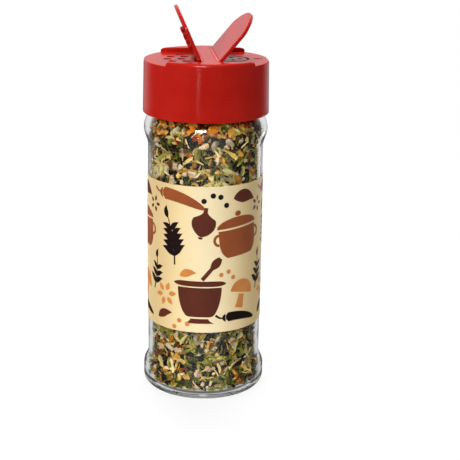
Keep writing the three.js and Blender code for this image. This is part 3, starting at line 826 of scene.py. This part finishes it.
# Seal ring
# A flat ring of white foam that lies between the glass lip and the cap's roof and rises with the cap.
# It is stamped from sheet, with soft edges.
SEAL_INNER_R = 17.5
SEAL_EDGE = 0.3
seal_low, seal_high = box("seal_ring")
seal_out = seal_high[0] - SEAL_EDGE
seal_in = SEAL_INNER_R + SEAL_EDGE
seal_bottom = seal_low[2] + SEAL_EDGE
seal_top = seal_high[2] - SEAL_EDGE
seal_corners = [(seal_out, seal_bottom), (seal_out, seal_top), (seal_in, seal_top), (seal_in, seal_bottom)]
seal_section = np.concatenate([
    arc(corner, SEAL_EDGE, 90 * number - 90, 90 * number, 5) for number, corner in enumerate(seal_corners)
])
seal = piece("seal_foam_ring", [cells(spin(seal_section, 128), around=True, closed=True)])
foam = Finish("white_foam", {})
pores = foam.noise(2200.0, 3.0, 0.6)
foam_tint = foam.ramp(pores, [(0.35, "cfccc4"), (0.6, "efede7")])
foam.coat(foam_tint, 0.7 + 0.2 * pores, foam.bump(pores, 0.5, 0.12))
settle(seal, foam, "seal", "seal_foam", "seal_ring")

# Cap body
# A glossy red polypropylene screw cap: a drawn-in skirt with a flat thumb bevel at either side, a deck
# with sifter holes on one side and a ring groove round fine holes on the other, and two raised segments
# joined by the hinge bar.
cap_low, cap_high = box("cap_body")
CAP_BOTTOM_R = cap_high[0]
CAP_BOTTOM_Z = cap_low[2]
CAP_TOP_Z = cap_high[2]
CAP_DRAFT = 0.3
CAP_TOP_R = CAP_BOTTOM_R - CAP_DRAFT
CAP_INNER_R = 21.1
RECESS_DEPTH = 1.55
DECK_THICK = 1.6
DECK_Z = CAP_TOP_Z - RECESS_DEPTH
ROOF_Z = DECK_Z - DECK_THICK
DECK_ROUND = 0.35
ROOF_ROUND = 0.5
HEM_ROUND = 0.5
BEVEL_WIDTH = 0.58
BEVEL_DROP = 1.0
BEVEL_SOFT = 0.1
CHANNEL_HALF = 16.55
BAR_HALF = 2.55
TOP_ROUND = 1.1
CHORD_ROUND = 0.45
FRONT_TIP_ROUND = 1.4
BACK_TIP_ROUND = 0.5
RAIL_SINK = 0.9
HOLE_R = 1.5
HOLE_ROUND = 0.2
HOLE_PITCH = 5.1
HOLE_FIRST_X = 7.7
HOLE_STAGGER = 1.5
HOLE_REACH = 16.0
HINGE_X = 3.1
GROOVE_X = 9.45
GROOVE_R = 6.4
GROOVE_WIDTH = 0.9
GROOVE_ROUND = 0.15
FINE_R = 0.8
FINE_PITCH = 2.9
FINE_ROUND = 0.14
LATCH_X = 19.1
LATCH_R = 0.85
LATCH_HALF = 0.8
LATCH_ROUND = 0.12
EASE = 0.06
GROOVE_DEPTH = 0.4
LATCH_DEPTH = 0.7
groove_z = DECK_Z - GROOVE_DEPTH
latch_z = DECK_Z - LATCH_DEPTH


def plate(loops, height, facing):
    """A flat face at one height inside the first loop and outside the others.

    Delaunay triangles between the loops' points are kept where a ray from their middle crosses an odd
    number of loop edges.
    """
    flat = np.concatenate(loops)
    edges = []
    first = 0
    for loop in loops:
        index = first + np.arange(len(loop))
        edges.append(together(index, np.roll(index, -1)))
        first += len(loop)
    edges = np.concatenate(edges)
    found = delaunay_2d_cdt([tuple(p) for p in flat.tolist()], edges.tolist(), [], 0, 1e-7)
    points = np.array([tuple(p) for p in found[0]])
    corners = np.array(found[2])
    middle = points[corners].mean(axis=1)
    a, b = flat[edges[:, 0]][None], flat[edges[:, 1]][None]
    x, y = middle[:, None, 0], middle[:, None, 1]
    spans = (a[..., 1] > y) != (b[..., 1] > y)
    rise = np.where(spans, b[..., 1] - a[..., 1], 1)
    beyond = x < a[..., 0] + (y - a[..., 1]) * (b[..., 0] - a[..., 0]) / rise
    inside = ((spans & beyond).sum(axis=1) % 2) == 1
    kept = corners[inside]
    p, q, r = (points[kept[:, k]] for k in range(3))
    turn = (q[:, 0] - p[:, 0]) * (r[:, 1] - p[:, 1]) - (q[:, 1] - p[:, 1]) * (r[:, 0] - p[:, 0])
    kept = np.where((turn * facing > 0)[:, None], kept, kept[:, ::-1])
    return together(*points.T, height), kept.tolist()


def mouth(radius, edge, count):
    """The top edge of an opening in the deck: from just outside it, round over and down."""
    rim = arc((radius + edge, DECK_Z - edge), edge, 90, 180, count)
    return np.concatenate([[(radius + edge + EASE, DECK_Z)], rim])


def hole_section(radius, edge):
    """Down through a hole: in over its rounded top edge, down its wall and out under its bottom edge."""
    return np.concatenate([
        mouth(radius, edge, 5),
        arc((radius + edge, ROOF_Z + edge), edge, 180, 270, 5),
        [(radius + edge, ROOF_Z), (radius + edge + EASE, ROOF_Z)],
    ])


def bevelled(points):
    """A rim with a flat cut at either side: |x| is held under a slanting plane by a smooth minimum.

    The minimum of a and b is b + (a - b) h - k h (1 - h), with h = 1/2 + (b - a) / 2k held from 0 to 1.
    """
    plane_x = CAP_TOP_R - BEVEL_WIDTH * (points[..., 2] - DECK_Z + BEVEL_DROP) / BEVEL_DROP
    reach = np.abs(points[..., 0])
    share = np.clip(0.5 + (plane_x - reach) / (2 * BEVEL_SOFT), 0, 1)
    held = plane_x + (reach - plane_x) * share - BEVEL_SOFT * share * (1 - share)
    return together(np.sign(points[..., 0]) * held, points[..., 1], points[..., 2])


RIM_BELOW_BEVEL = 0.4
rim_low_z = DECK_Z - BEVEL_DROP - RIM_BELOW_BEVEL
hem_z = CAP_BOTTOM_Z + HEM_ROUND
skirt_section = np.concatenate([
    [(CAP_INNER_R - ROOF_ROUND - EASE, ROOF_Z)],
    arc((CAP_INNER_R - ROOF_ROUND, ROOF_Z - ROOF_ROUND), ROOF_ROUND, 90, 0, 5),
    line((CAP_INNER_R, ROOF_Z - ROOF_ROUND), (CAP_INNER_R, hem_z), 4),
    arc((CAP_INNER_R + HEM_ROUND, hem_z), HEM_ROUND, 180, 270, 5),
    arc((CAP_BOTTOM_R - HEM_ROUND, hem_z), HEM_ROUND, 270, 360, 6),
    line((CAP_BOTTOM_R, hem_z), (CAP_TOP_R, rim_low_z), 8),
    line((CAP_TOP_R, rim_low_z), (CAP_TOP_R, DECK_Z - DECK_ROUND), 10),
    arc((CAP_TOP_R - DECK_ROUND, DECK_Z - DECK_ROUND), DECK_ROUND, 0, 90, 8),
    [(CAP_TOP_R - DECK_ROUND, DECK_Z), (CAP_TOP_R - DECK_ROUND - EASE, DECK_Z)],
])
skirt = bevelled(spin(skirt_section, 384))

hole_places = []
for row in range(-3, 4):
    for column in range(3):
        hole_x = HOLE_FIRST_X + HOLE_STAGGER * (1 - row % 2) + HOLE_PITCH * column
        if math.hypot(hole_x, HOLE_PITCH * row) <= HOLE_REACH:
            hole_places.append((-hole_x, HOLE_PITCH * row))
sifter_holes = [spin(hole_section(HOLE_R, HOLE_ROUND), 32, place) for place in hole_places]

island_r = GROOVE_R - GROOVE_WIDTH - GROOVE_ROUND
groove_section = np.concatenate([
    mouth(GROOVE_R, GROOVE_ROUND, 4),
    [(GROOVE_R, groove_z), (GROOVE_R - GROOVE_WIDTH, groove_z)],
    arc((island_r, DECK_Z - GROOVE_ROUND), GROOVE_ROUND, 0, 90, 4),
    [(island_r, DECK_Z), (island_r - EASE, DECK_Z)],
])
groove = spin(groove_section, 96, (GROOVE_X, 0.0))
fine_turns = np.radians([0, 90, 180, 270])
fine_places = [(GROOVE_X + FINE_PITCH * math.cos(turn), FINE_PITCH * math.sin(turn)) for turn in fine_turns]
fine_holes = [spin(hole_section(FINE_R, FINE_ROUND), 20, place) for place in fine_places]

latch_section = np.concatenate([
    mouth(LATCH_R, LATCH_ROUND, 4), [(LATCH_R, latch_z), (LATCH_R - EASE, latch_z)],
])
latch = spin(latch_section, 32, (LATCH_X, 0.0), stretch=LATCH_HALF)

holes = sifter_holes + fine_holes
deck_loops = [skirt[:, -1, :2], groove[:, 0, :2], groove[:, -1, :2], latch[:, 0, :2]]
cap_sheets = [cells(ring, around=True) for ring in [skirt, groove, latch] + holes]
cap_sheets += [
    plate(deck_loops + [hole[:, 0, :2] for hole in holes], DECK_Z, 1),
    plate([skirt[:, 0, :2]] + [hole[:, -1, :2] for hole in holes], ROOF_Z, -1),
    plate([latch[:, -1, :2]], latch_z, 1),
]


def soft_loop(legs, cuts, counts):
    """A closed outline from legs of points: each corner is cut back and bridged by a quadratic curve.

    A bridge is (1-t)^2 P + 2t(1-t) C + t^2 Q, with the corner C and the cut ends P and Q.
    """
    runs = []
    for leg, count, before, after in zip(legs, counts, cuts, cuts[1:] + cuts[:1]):
        leg = np.array(leg)
        reach = np.concatenate([[0], np.cumsum(np.hypot(*np.diff(leg, axis=0).T))])
        at = np.linspace(before, reach[-1] - after, count)
        runs.append(together(*(np.interp(at, reach, column) for column in leg.T)))
    t = np.linspace(0, 1, 11)[1:-1, None]
    outline = []
    for leg, here, ahead in zip(legs, runs, runs[1:] + runs[:1]):
        corner = np.array(leg[-1])
        bridge = (1 - t) ** 2 * here[-1] + 2 * t * (1 - t) * corner + t ** 2 * ahead[0]
        outline += [here, bridge]
    return np.concatenate(outline)


def rail_level(height):
    """The raised segments and the bar as one outline at a height, under rounds of two radii.

    A round of radius r steps in by r - sqrt(r^2 - (z - top + r)^2) from r below the top. The front half
    of the outline is the back half turned half round.
    """
    chord_up, rim_up = (max(height - CAP_TOP_Z + r, 0) for r in (CHORD_ROUND, TOP_ROUND))
    chord_in = CHORD_ROUND - math.sqrt(max(CHORD_ROUND ** 2 - chord_up ** 2, 0))
    rim = CAP_TOP_R + 0.01 - TOP_ROUND + math.sqrt(max(TOP_ROUND ** 2 - rim_up ** 2, 0))
    bar = BAR_HALF - chord_in
    chord = CHANNEL_HALF + chord_in
    tip = math.sqrt(rim ** 2 - chord ** 2)
    turn = math.degrees(math.atan2(chord, tip))
    rim_arc = np.concatenate([arc((0, 0), rim, turn, 180 - turn, 60), [(-tip, chord)]])
    bar_side = [(bar, -chord), (bar, chord)]
    half = [bar_side, [(bar, chord), (tip, chord)], rim_arc, [(-tip, chord), (-bar, chord)]]
    legs = half + [-np.array(leg) for leg in half]
    outline = soft_loop(legs, [0.6, 0.6, 0.3, 0.3] * 2, [24, 32, 96, 32] * 2)
    return together(*outline.T, height)


rail_low_z = DECK_Z - RAIL_SINK
rail_rise = np.sin(np.radians(np.linspace(4, 90, 30)))
rail_heights = [rail_low_z, *(CAP_TOP_Z - TOP_ROUND * (1 - rail_rise))]
rails = np.stack([rail_level(height) for height in rail_heights], axis=1)
rail_sheets = [
    cells(rails, around=True),
    plate([rails[:, -1, :2]], CAP_TOP_Z, 1),
    plate([rails[:, 0, :2]], rail_low_z, -1),
]
rail_tip = math.sqrt(CAP_TOP_R ** 2 - CHANNEL_HALF ** 2)


def tip_rounded(points):
    """Rails under a quarter round at each end: d past its start, the top falls by r - sqrt(r^2 - d^2)."""
    r = np.where(points[:, 1] < 0, FRONT_TIP_ROUND, BACK_TIP_ROUND)
    past = np.clip(np.abs(points[:, 0]) - rail_tip + r, 0, r)
    top = CAP_TOP_Z - r + np.sqrt(r ** 2 - past ** 2)
    return together(points[:, 0], points[:, 1], np.minimum(points[:, 2], top))


cap_sheets += [(tip_rounded(points), faces) for points, faces in rail_sheets]

RIDGE_ROOT = 0.4
RIDGE_HALF = 0.8
CREST_HALF = 0.32
CAP_THREAD_Z = THREAD_Z - THREAD_PITCH / 2
ridge_turn = np.linspace(0, THREAD_TURNS, 121)[:, None]
ridge_out = np.array([-RIDGE_ROOT, THREAD_HEIGHT, THREAD_HEIGHT, -RIDGE_ROOT])[None, :]
ridge_up = np.array([-RIDGE_HALF, -CREST_HALF, CREST_HALF, RIDGE_HALF])[None, :]
ridge_fade = np.clip(np.minimum(ridge_turn, THREAD_TURNS - ridge_turn) / THREAD_RUN_OUT, 0.02, 1)
ridge_r = CAP_INNER_R - ridge_out * np.where(ridge_out > 0, ridge_fade, 1)
ridge_z = CAP_THREAD_Z + THREAD_PITCH * ridge_turn + ridge_up
ridge_angle = math.tau * ridge_turn
ridge_points = together(ridge_r * np.cos(ridge_angle), ridge_r * np.sin(ridge_angle), ridge_z)
cap_sheets.append(tube(ridge_points[:, ::-1]))
cap = piece("cap_moulding", cap_sheets, sharp=50)

red = Finish("red_plastic", {"IOR": 1.49, "Specular IOR Level": 0.3})
cloud = red.noise(70.0, 3.0)
grit = red.noise(3200.0, 3.0, 0.6)
red_tint = red.ramp(cloud, [(0.35, "a9170e"), (0.65, "b21d14")])
red.coat(red_tint, 0.1 + 0.08 * cloud + 0.04 * grit, red.bump(grit, 0.06, 0.02))
settle(cap, red, "cap", "red_plastic", "cap_body")

# Flaps
# Two lids of the same moulding, each with a straight root at the hinge bar and a round end on the cap's
# rim. Pegs under them stop the holes. They are shaped shut, then swung open to where the jar is shown.
FLAP_THICK = 1.25
FLAP_HALF = 16.2
FLAP_ROOT_X = 3.65
FLAP_TOP_ROUND = 0.35
FLAP_UNDER_ROUND = 0.2
SIFTER_OPEN = 66.5
POUR_OPEN = 50.0
SIFTER_PEG_R = 0.9
SIFTER_PEG_REACH = 2.5
FINE_PEG_R = 0.44
FINE_PEG_REACH = 2.05
NUB_R = 0.45
NUB_REACH = 1.95
PEG_NOSE = 0.35
PEG_DRAFT = 0.06
PEG_ROOT = 0.25
HINGE_Z = frame["joints"][2]["pos_m"][2] / MM
flap_under = CAP_TOP_Z - FLAP_THICK

side_x = math.sqrt(CAP_TOP_R ** 2 - FLAP_HALF ** 2)
end_turn = math.degrees(math.atan2(FLAP_HALF, side_x))
end_arc = np.concatenate([arc((0, 0), CAP_TOP_R, -end_turn, end_turn, 60), [(side_x, FLAP_HALF)]])
flap_legs = [
    [(FLAP_ROOT_X, FLAP_HALF), (FLAP_ROOT_X, -FLAP_HALF)],
    [(FLAP_ROOT_X, -FLAP_HALF), (side_x, -FLAP_HALF)],
    end_arc,
    [(side_x, FLAP_HALF), (FLAP_ROOT_X, FLAP_HALF)],
]
flap_outline = soft_loop(flap_legs, [0.7, 0.7, 1.6, 1.6], [24, 16, 64, 16])
flap_section = np.concatenate([
    [(FLAP_UNDER_ROUND + EASE, flap_under), (FLAP_UNDER_ROUND, flap_under)],
    arc((FLAP_UNDER_ROUND, flap_under + FLAP_UNDER_ROUND), FLAP_UNDER_ROUND, 270, 180, 5)[1:],
    arc((FLAP_TOP_ROUND, CAP_TOP_Z - FLAP_TOP_ROUND), FLAP_TOP_ROUND, 180, 90, 7),
    [(FLAP_TOP_ROUND, CAP_TOP_Z), (FLAP_TOP_ROUND + EASE, CAP_TOP_Z)],
])


def walled(outline, section):
    """A section of steps in and heights carried round a closed outline, along the outline's normal."""
    inward = normals(np.roll(outline, -1, axis=0) - np.roll(outline, 1, axis=0))
    flat = outline[:, None, :] + section[None, :, :1] * inward[:, None, :]
    return together(flat[..., 0], flat[..., 1], section[None, :, 1])


def peg(place, radius, reach, stretch=0.0):
    """A stub under a flap: from inside it down a drafted wall to a rounded end, closed at the axis."""
    low = CAP_TOP_Z - reach
    nose = PEG_NOSE * radius
    root_z = flap_under + PEG_ROOT
    section = np.concatenate([
        [(0, low), (radius - nose - PEG_DRAFT, low)],
        arc((radius - nose - PEG_DRAFT, low + nose), nose, -90, 0, 5)[1:],
        [(radius, root_z), (0, root_z)],
    ])
    return cells(spin(section, 20, place, stretch), around=True)


def swung(sheets, angle):
    """Sheets turned by degrees about the hinge line, which runs along Y through the hinge point."""
    done = []
    for points, faces in sheets:
        x, z = rotated(points[:, 0] - HINGE_X, points[:, 2] - HINGE_Z, math.radians(angle))
        done.append((together(HINGE_X + x, points[:, 1], HINGE_Z + z), faces))
    return done


def facing_left(sheets):
    """Sheets turned half round the jar's axis."""
    return [(points * [-1, -1, 1], faces) for points, faces in sheets]


flap_wall = walled(flap_outline, flap_section)
flap_sheets = [
    cells(flap_wall, around=True),
    plate([flap_wall[:, -1, :2]], CAP_TOP_Z, 1),
    plate([flap_wall[:, 0, :2]], flap_under, -1),
]
sifter_pegs = [peg((-x, -y), SIFTER_PEG_R, SIFTER_PEG_REACH) for x, y in hole_places]
fine_pegs = [peg(place, FINE_PEG_R, FINE_PEG_REACH) for place in fine_places]
latch_nub = [peg((LATCH_X, 0.0), NUB_R, NUB_REACH, stretch=LATCH_HALF)]
sifter_flap = piece("sifter_lid", facing_left(swung(flap_sheets + sifter_pegs, SIFTER_OPEN)), sharp=50)
pour_flap = piece("pour_lid", swung(flap_sheets + fine_pegs + latch_nub, POUR_OPEN), sharp=50)
settle(sifter_flap, red, "sifter", "red_plastic", "sifter_flap")
settle(pour_flap, red, "pourer", "red_plastic", "pour_flap")

# Living hinges
# A thin web of the same plastic along each root, with a painted highlight: a pale line along its crease,
# where it would catch the light. It runs from inside the hinge bar to inside the flap.
WEB_THICK = 0.3
WEB_ROOT = 0.3
WEB_REACH = 0.85
WEB_END_GAP = 0.5
CREASE_X = HINGE_X - 0.25
pale_red = Finish("web_plastic_painted_highlight", {"IOR": 1.49, "Specular IOR Level": 0.3})
crease = pale_red.noise(900.0, 3.0, 0.6)
# Painted highlight: a pale line along the crease of each web.
crease_away = abs(abs(pale_red.part("X")) - CREASE_X * MM)
crease_painted_highlight = pale_red.fade(crease_away + 0.1 * MM * crease, (0.05 * MM, 1.0), (0.14 * MM, 0.0))
web_tint = pale_red.blend(crease_painted_highlight, rgb("b21d14"), rgb("f2ccc6"))
pale_red.coat(web_tint, 0.3 + 0.15 * crease, pale_red.bump(crease, 0.1, 0.03))


def web(angle):
    """A strip whose middle line is a quadratic curve from the bar over the hinge to the swung root."""
    a = math.radians(angle)
    start = np.array([BAR_HALF - WEB_ROOT, HINGE_Z])
    bend = np.array([HINGE_X, HINGE_Z])
    end = bend + WEB_REACH * np.array([math.cos(a), math.sin(a)])
    t = np.linspace(0, 1, 13)[:, None]
    middle = (1 - t) ** 2 * start + 2 * t * (1 - t) * bend + t ** 2 * end
    aside = WEB_THICK / 2 * normals(np.gradient(middle, axis=0))
    loop = np.concatenate([middle - aside, (middle + aside)[::-1]])
    along = np.linspace(-FLAP_HALF + WEB_END_GAP, FLAP_HALF - WEB_END_GAP, 9)
    return tube(together(loop[None, :, 0], along[:, None], loop[None, :, 1])), start, end


for name, angle, side, body in (("sifter", SIFTER_OPEN, -1, "sifter"), ("pour", POUR_OPEN, 1, "pourer")):
    web_sheet, web_start, web_end = web(angle)
    sheets = [web_sheet] if side > 0 else facing_left([web_sheet])
    strip = piece(name + "_web", sheets, sharp=50)
    pale_red.put_on(strip)
    side * (web_start[0] + WEB_ROOT) * MM
    web_start[1] * MM
    side * web_end[0] * MM
    web_end[1] * MM
    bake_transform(strip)
    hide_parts(name + "_hinge")

# Studio
# A pale table that fades into a white room. Soft lamps stand to the left, overhead and behind. A lamp
# and a low strip in front and a card on the right show only as streaks on the cap and the glass.
FLOOR_HALF = 4.0
FLOOR_FRONT = 0.2
FLOOR_DROP = 0.2
floor_x = np.array([-1, 1, 1, -1]) * FLOOR_HALF / MM
floor_y = np.array([-FLOOR_FRONT, -FLOOR_FRONT, FLOOR_HALF, FLOOR_HALF]) / MM
floor = piece("studio_floor", [(together(floor_x, floor_y, -FLOOR_DROP), [[0, 1, 2, 3]])])
pale = Finish("pale_floor", {"Roughness": 0.9, "Specular IOR Level": 0.1})
pale.feed(pale.shader, {"Base Color": pale.ramp(pale.noise(8.0), [(0.3, "d8d8d8"), (0.7, "dedede")])})
glow = pale.add("ShaderNodeEmission", {}, {"Color": rgb("ffffff"), "Strength": 1.0}, "Emission")
floor_away = pale.add("ShaderNodeVectorMath", {"operation": "LENGTH"}, {0: pale.place()}, "Value")
pale.mix_in(pale.fade(floor_away, (0.06, 0.8), (0.25, 1.0)) * pale.ray("Camera"), glow)
pale.put_on(floor)
floor.visible_glossy = False
floor.visible_transmission = False
floor.visible_shadow = False

ROOM_LIGHT = 0.25
MIRROR_FRONT = 0.05
MIRROR_BACK = 0.55
EDGE_SHARE = 0.2
MIRROR_LOW = 0.3
THROUGH_FRONT = 0.15
THROUGH_BACK = 0.8
world = bpy.data.worlds.new("white_room")
bpy.context.scene.world = world
world.use_nodes = True
white = Wiring(world.node_tree)
depth = white.part("Y", "Generated")
height = white.part("Z", "Generated")
straight = white.fade(depth, (0.92, 1.0), (0.955, EDGE_SHARE))
rim_dark = straight.largest(white.fade(height, (-0.15, 0.0), (0.0, 1.0)))
low_dark = white.fade(height, (-0.24, MIRROR_LOW), (-0.19, 1.0))
mirrored = white.fade(depth, (0.45, MIRROR_FRONT), (0.78, MIRROR_BACK)) * rim_dark * low_dark
seen_through = white.fade(abs(depth), (0.55, THROUGH_FRONT), (0.8, THROUGH_BACK)) * rim_dark
strength = white.ray("Camera").largest(mirrored * white.ray("Glossy"))
strength = strength.largest(seen_through * white.ray("Transmission"))
strength = strength.largest(ROOM_LIGHT * white.ray("Diffuse"))
white.feed(white.nodes["Background"], {"Color": rgb("ffffff"), "Strength": strength})


def lamp(name, place, target, size, watts, mirrored=False):
    """A rectangular lamp that faces a target. It lights surfaces, or else it only shows as a reflection."""
    light = bpy.data.lights.new(name, "AREA")
    light.shape = "RECTANGLE"
    light.size, light.size_y = size
    light.energy = watts
    made = bpy.data.objects.new(name, light)
    aim = (Vector(place) - Vector(target)).to_track_quat("Z", "Y")
    made.matrix_world = Matrix.Translation(place) @ aim.to_matrix().to_4x4()
    made.visible_camera = False
    made.visible_diffuse = not mirrored
    made.visible_glossy = mirrored
    made.visible_transmission = False
    bpy.context.scene.collection.objects.link(made)


jar_centre = (0.0, 0.0, 0.07)
lamp("left_lamp", (-0.66, -0.7, 0.5), jar_centre, (0.25, 0.3), 7.2)
lamp("top_lamp", (0.05, -0.02, 0.95), jar_centre, (0.5, 0.4), 6.2)
lamp("back_left_lamp", (-0.2, 0.62, 0.72), jar_centre, (0.35, 0.35), 5.0)
lamp("back_right_lamp", (0.34, 0.62, 0.62), jar_centre, (0.35, 0.35), 3.8)
lamp("front_lamp", (-0.215, -0.82, 0.58), (0, 0, 0.104), (0.31, 0.2), 8.0, mirrored=True)
lamp("low_strip", (-0.285, -0.85, 0.02), (0, 0, 0.118), (0.06, 0.02), 0.06, mirrored=True)
lamp("right_card", (0.145, 0.105, 0.036), (0.02, 0, 0.085), (0.055, 0.05), 0.02, mirrored=True)

# Camera
# At the photograph's place and angle, found by fitting the rims of the jar and cap. It stands before the
# jar and looks down on it, then goes round the jar's axis by a few degrees.
CAMERA_OUT = 0.46797
CAMERA_UP = 0.20155
CAMERA_ROUND = -5.0
CAMERA_YAW = 1.185
CAMERA_PITCH = 16.726
CAMERA_ROLL = 0.950
FOCAL_PIXELS = 1278.1
PICTURE_PIXELS = 460


def turning(degrees, axis):
    return Matrix.Rotation(math.radians(degrees), 4, axis)


camera_data = bpy.data.cameras.new("camera")
camera_data.sensor_width = 36.0
camera_data.lens = FOCAL_PIXELS / PICTURE_PIXELS * camera_data.sensor_width
camera_data.clip_start = 0.01
camera = bpy.data.objects.new("camera", camera_data)
camera_stand = turning(CAMERA_ROUND, "Z") @ Matrix.Translation((0, -CAMERA_OUT, CAMERA_UP))
camera_aim = turning(-CAMERA_YAW, "Z") @ turning(90 - CAMERA_PITCH, "X") @ turning(CAMERA_ROLL, "Z")
camera.matrix_world = camera_stand @ camera_aim
bpy.context.scene.collection.objects.link(camera)
bpy.context.scene.camera = camera
bpy.context.scene.view_settings.view_transform = "Standard"

# Light goes round inside the thick glass of the base many times before it comes out.
light_paths = bpy.context.scene.cycles
light_paths.max_bounces = 24
light_paths.glossy_bounces = 16
light_paths.transmission_bounces = 24
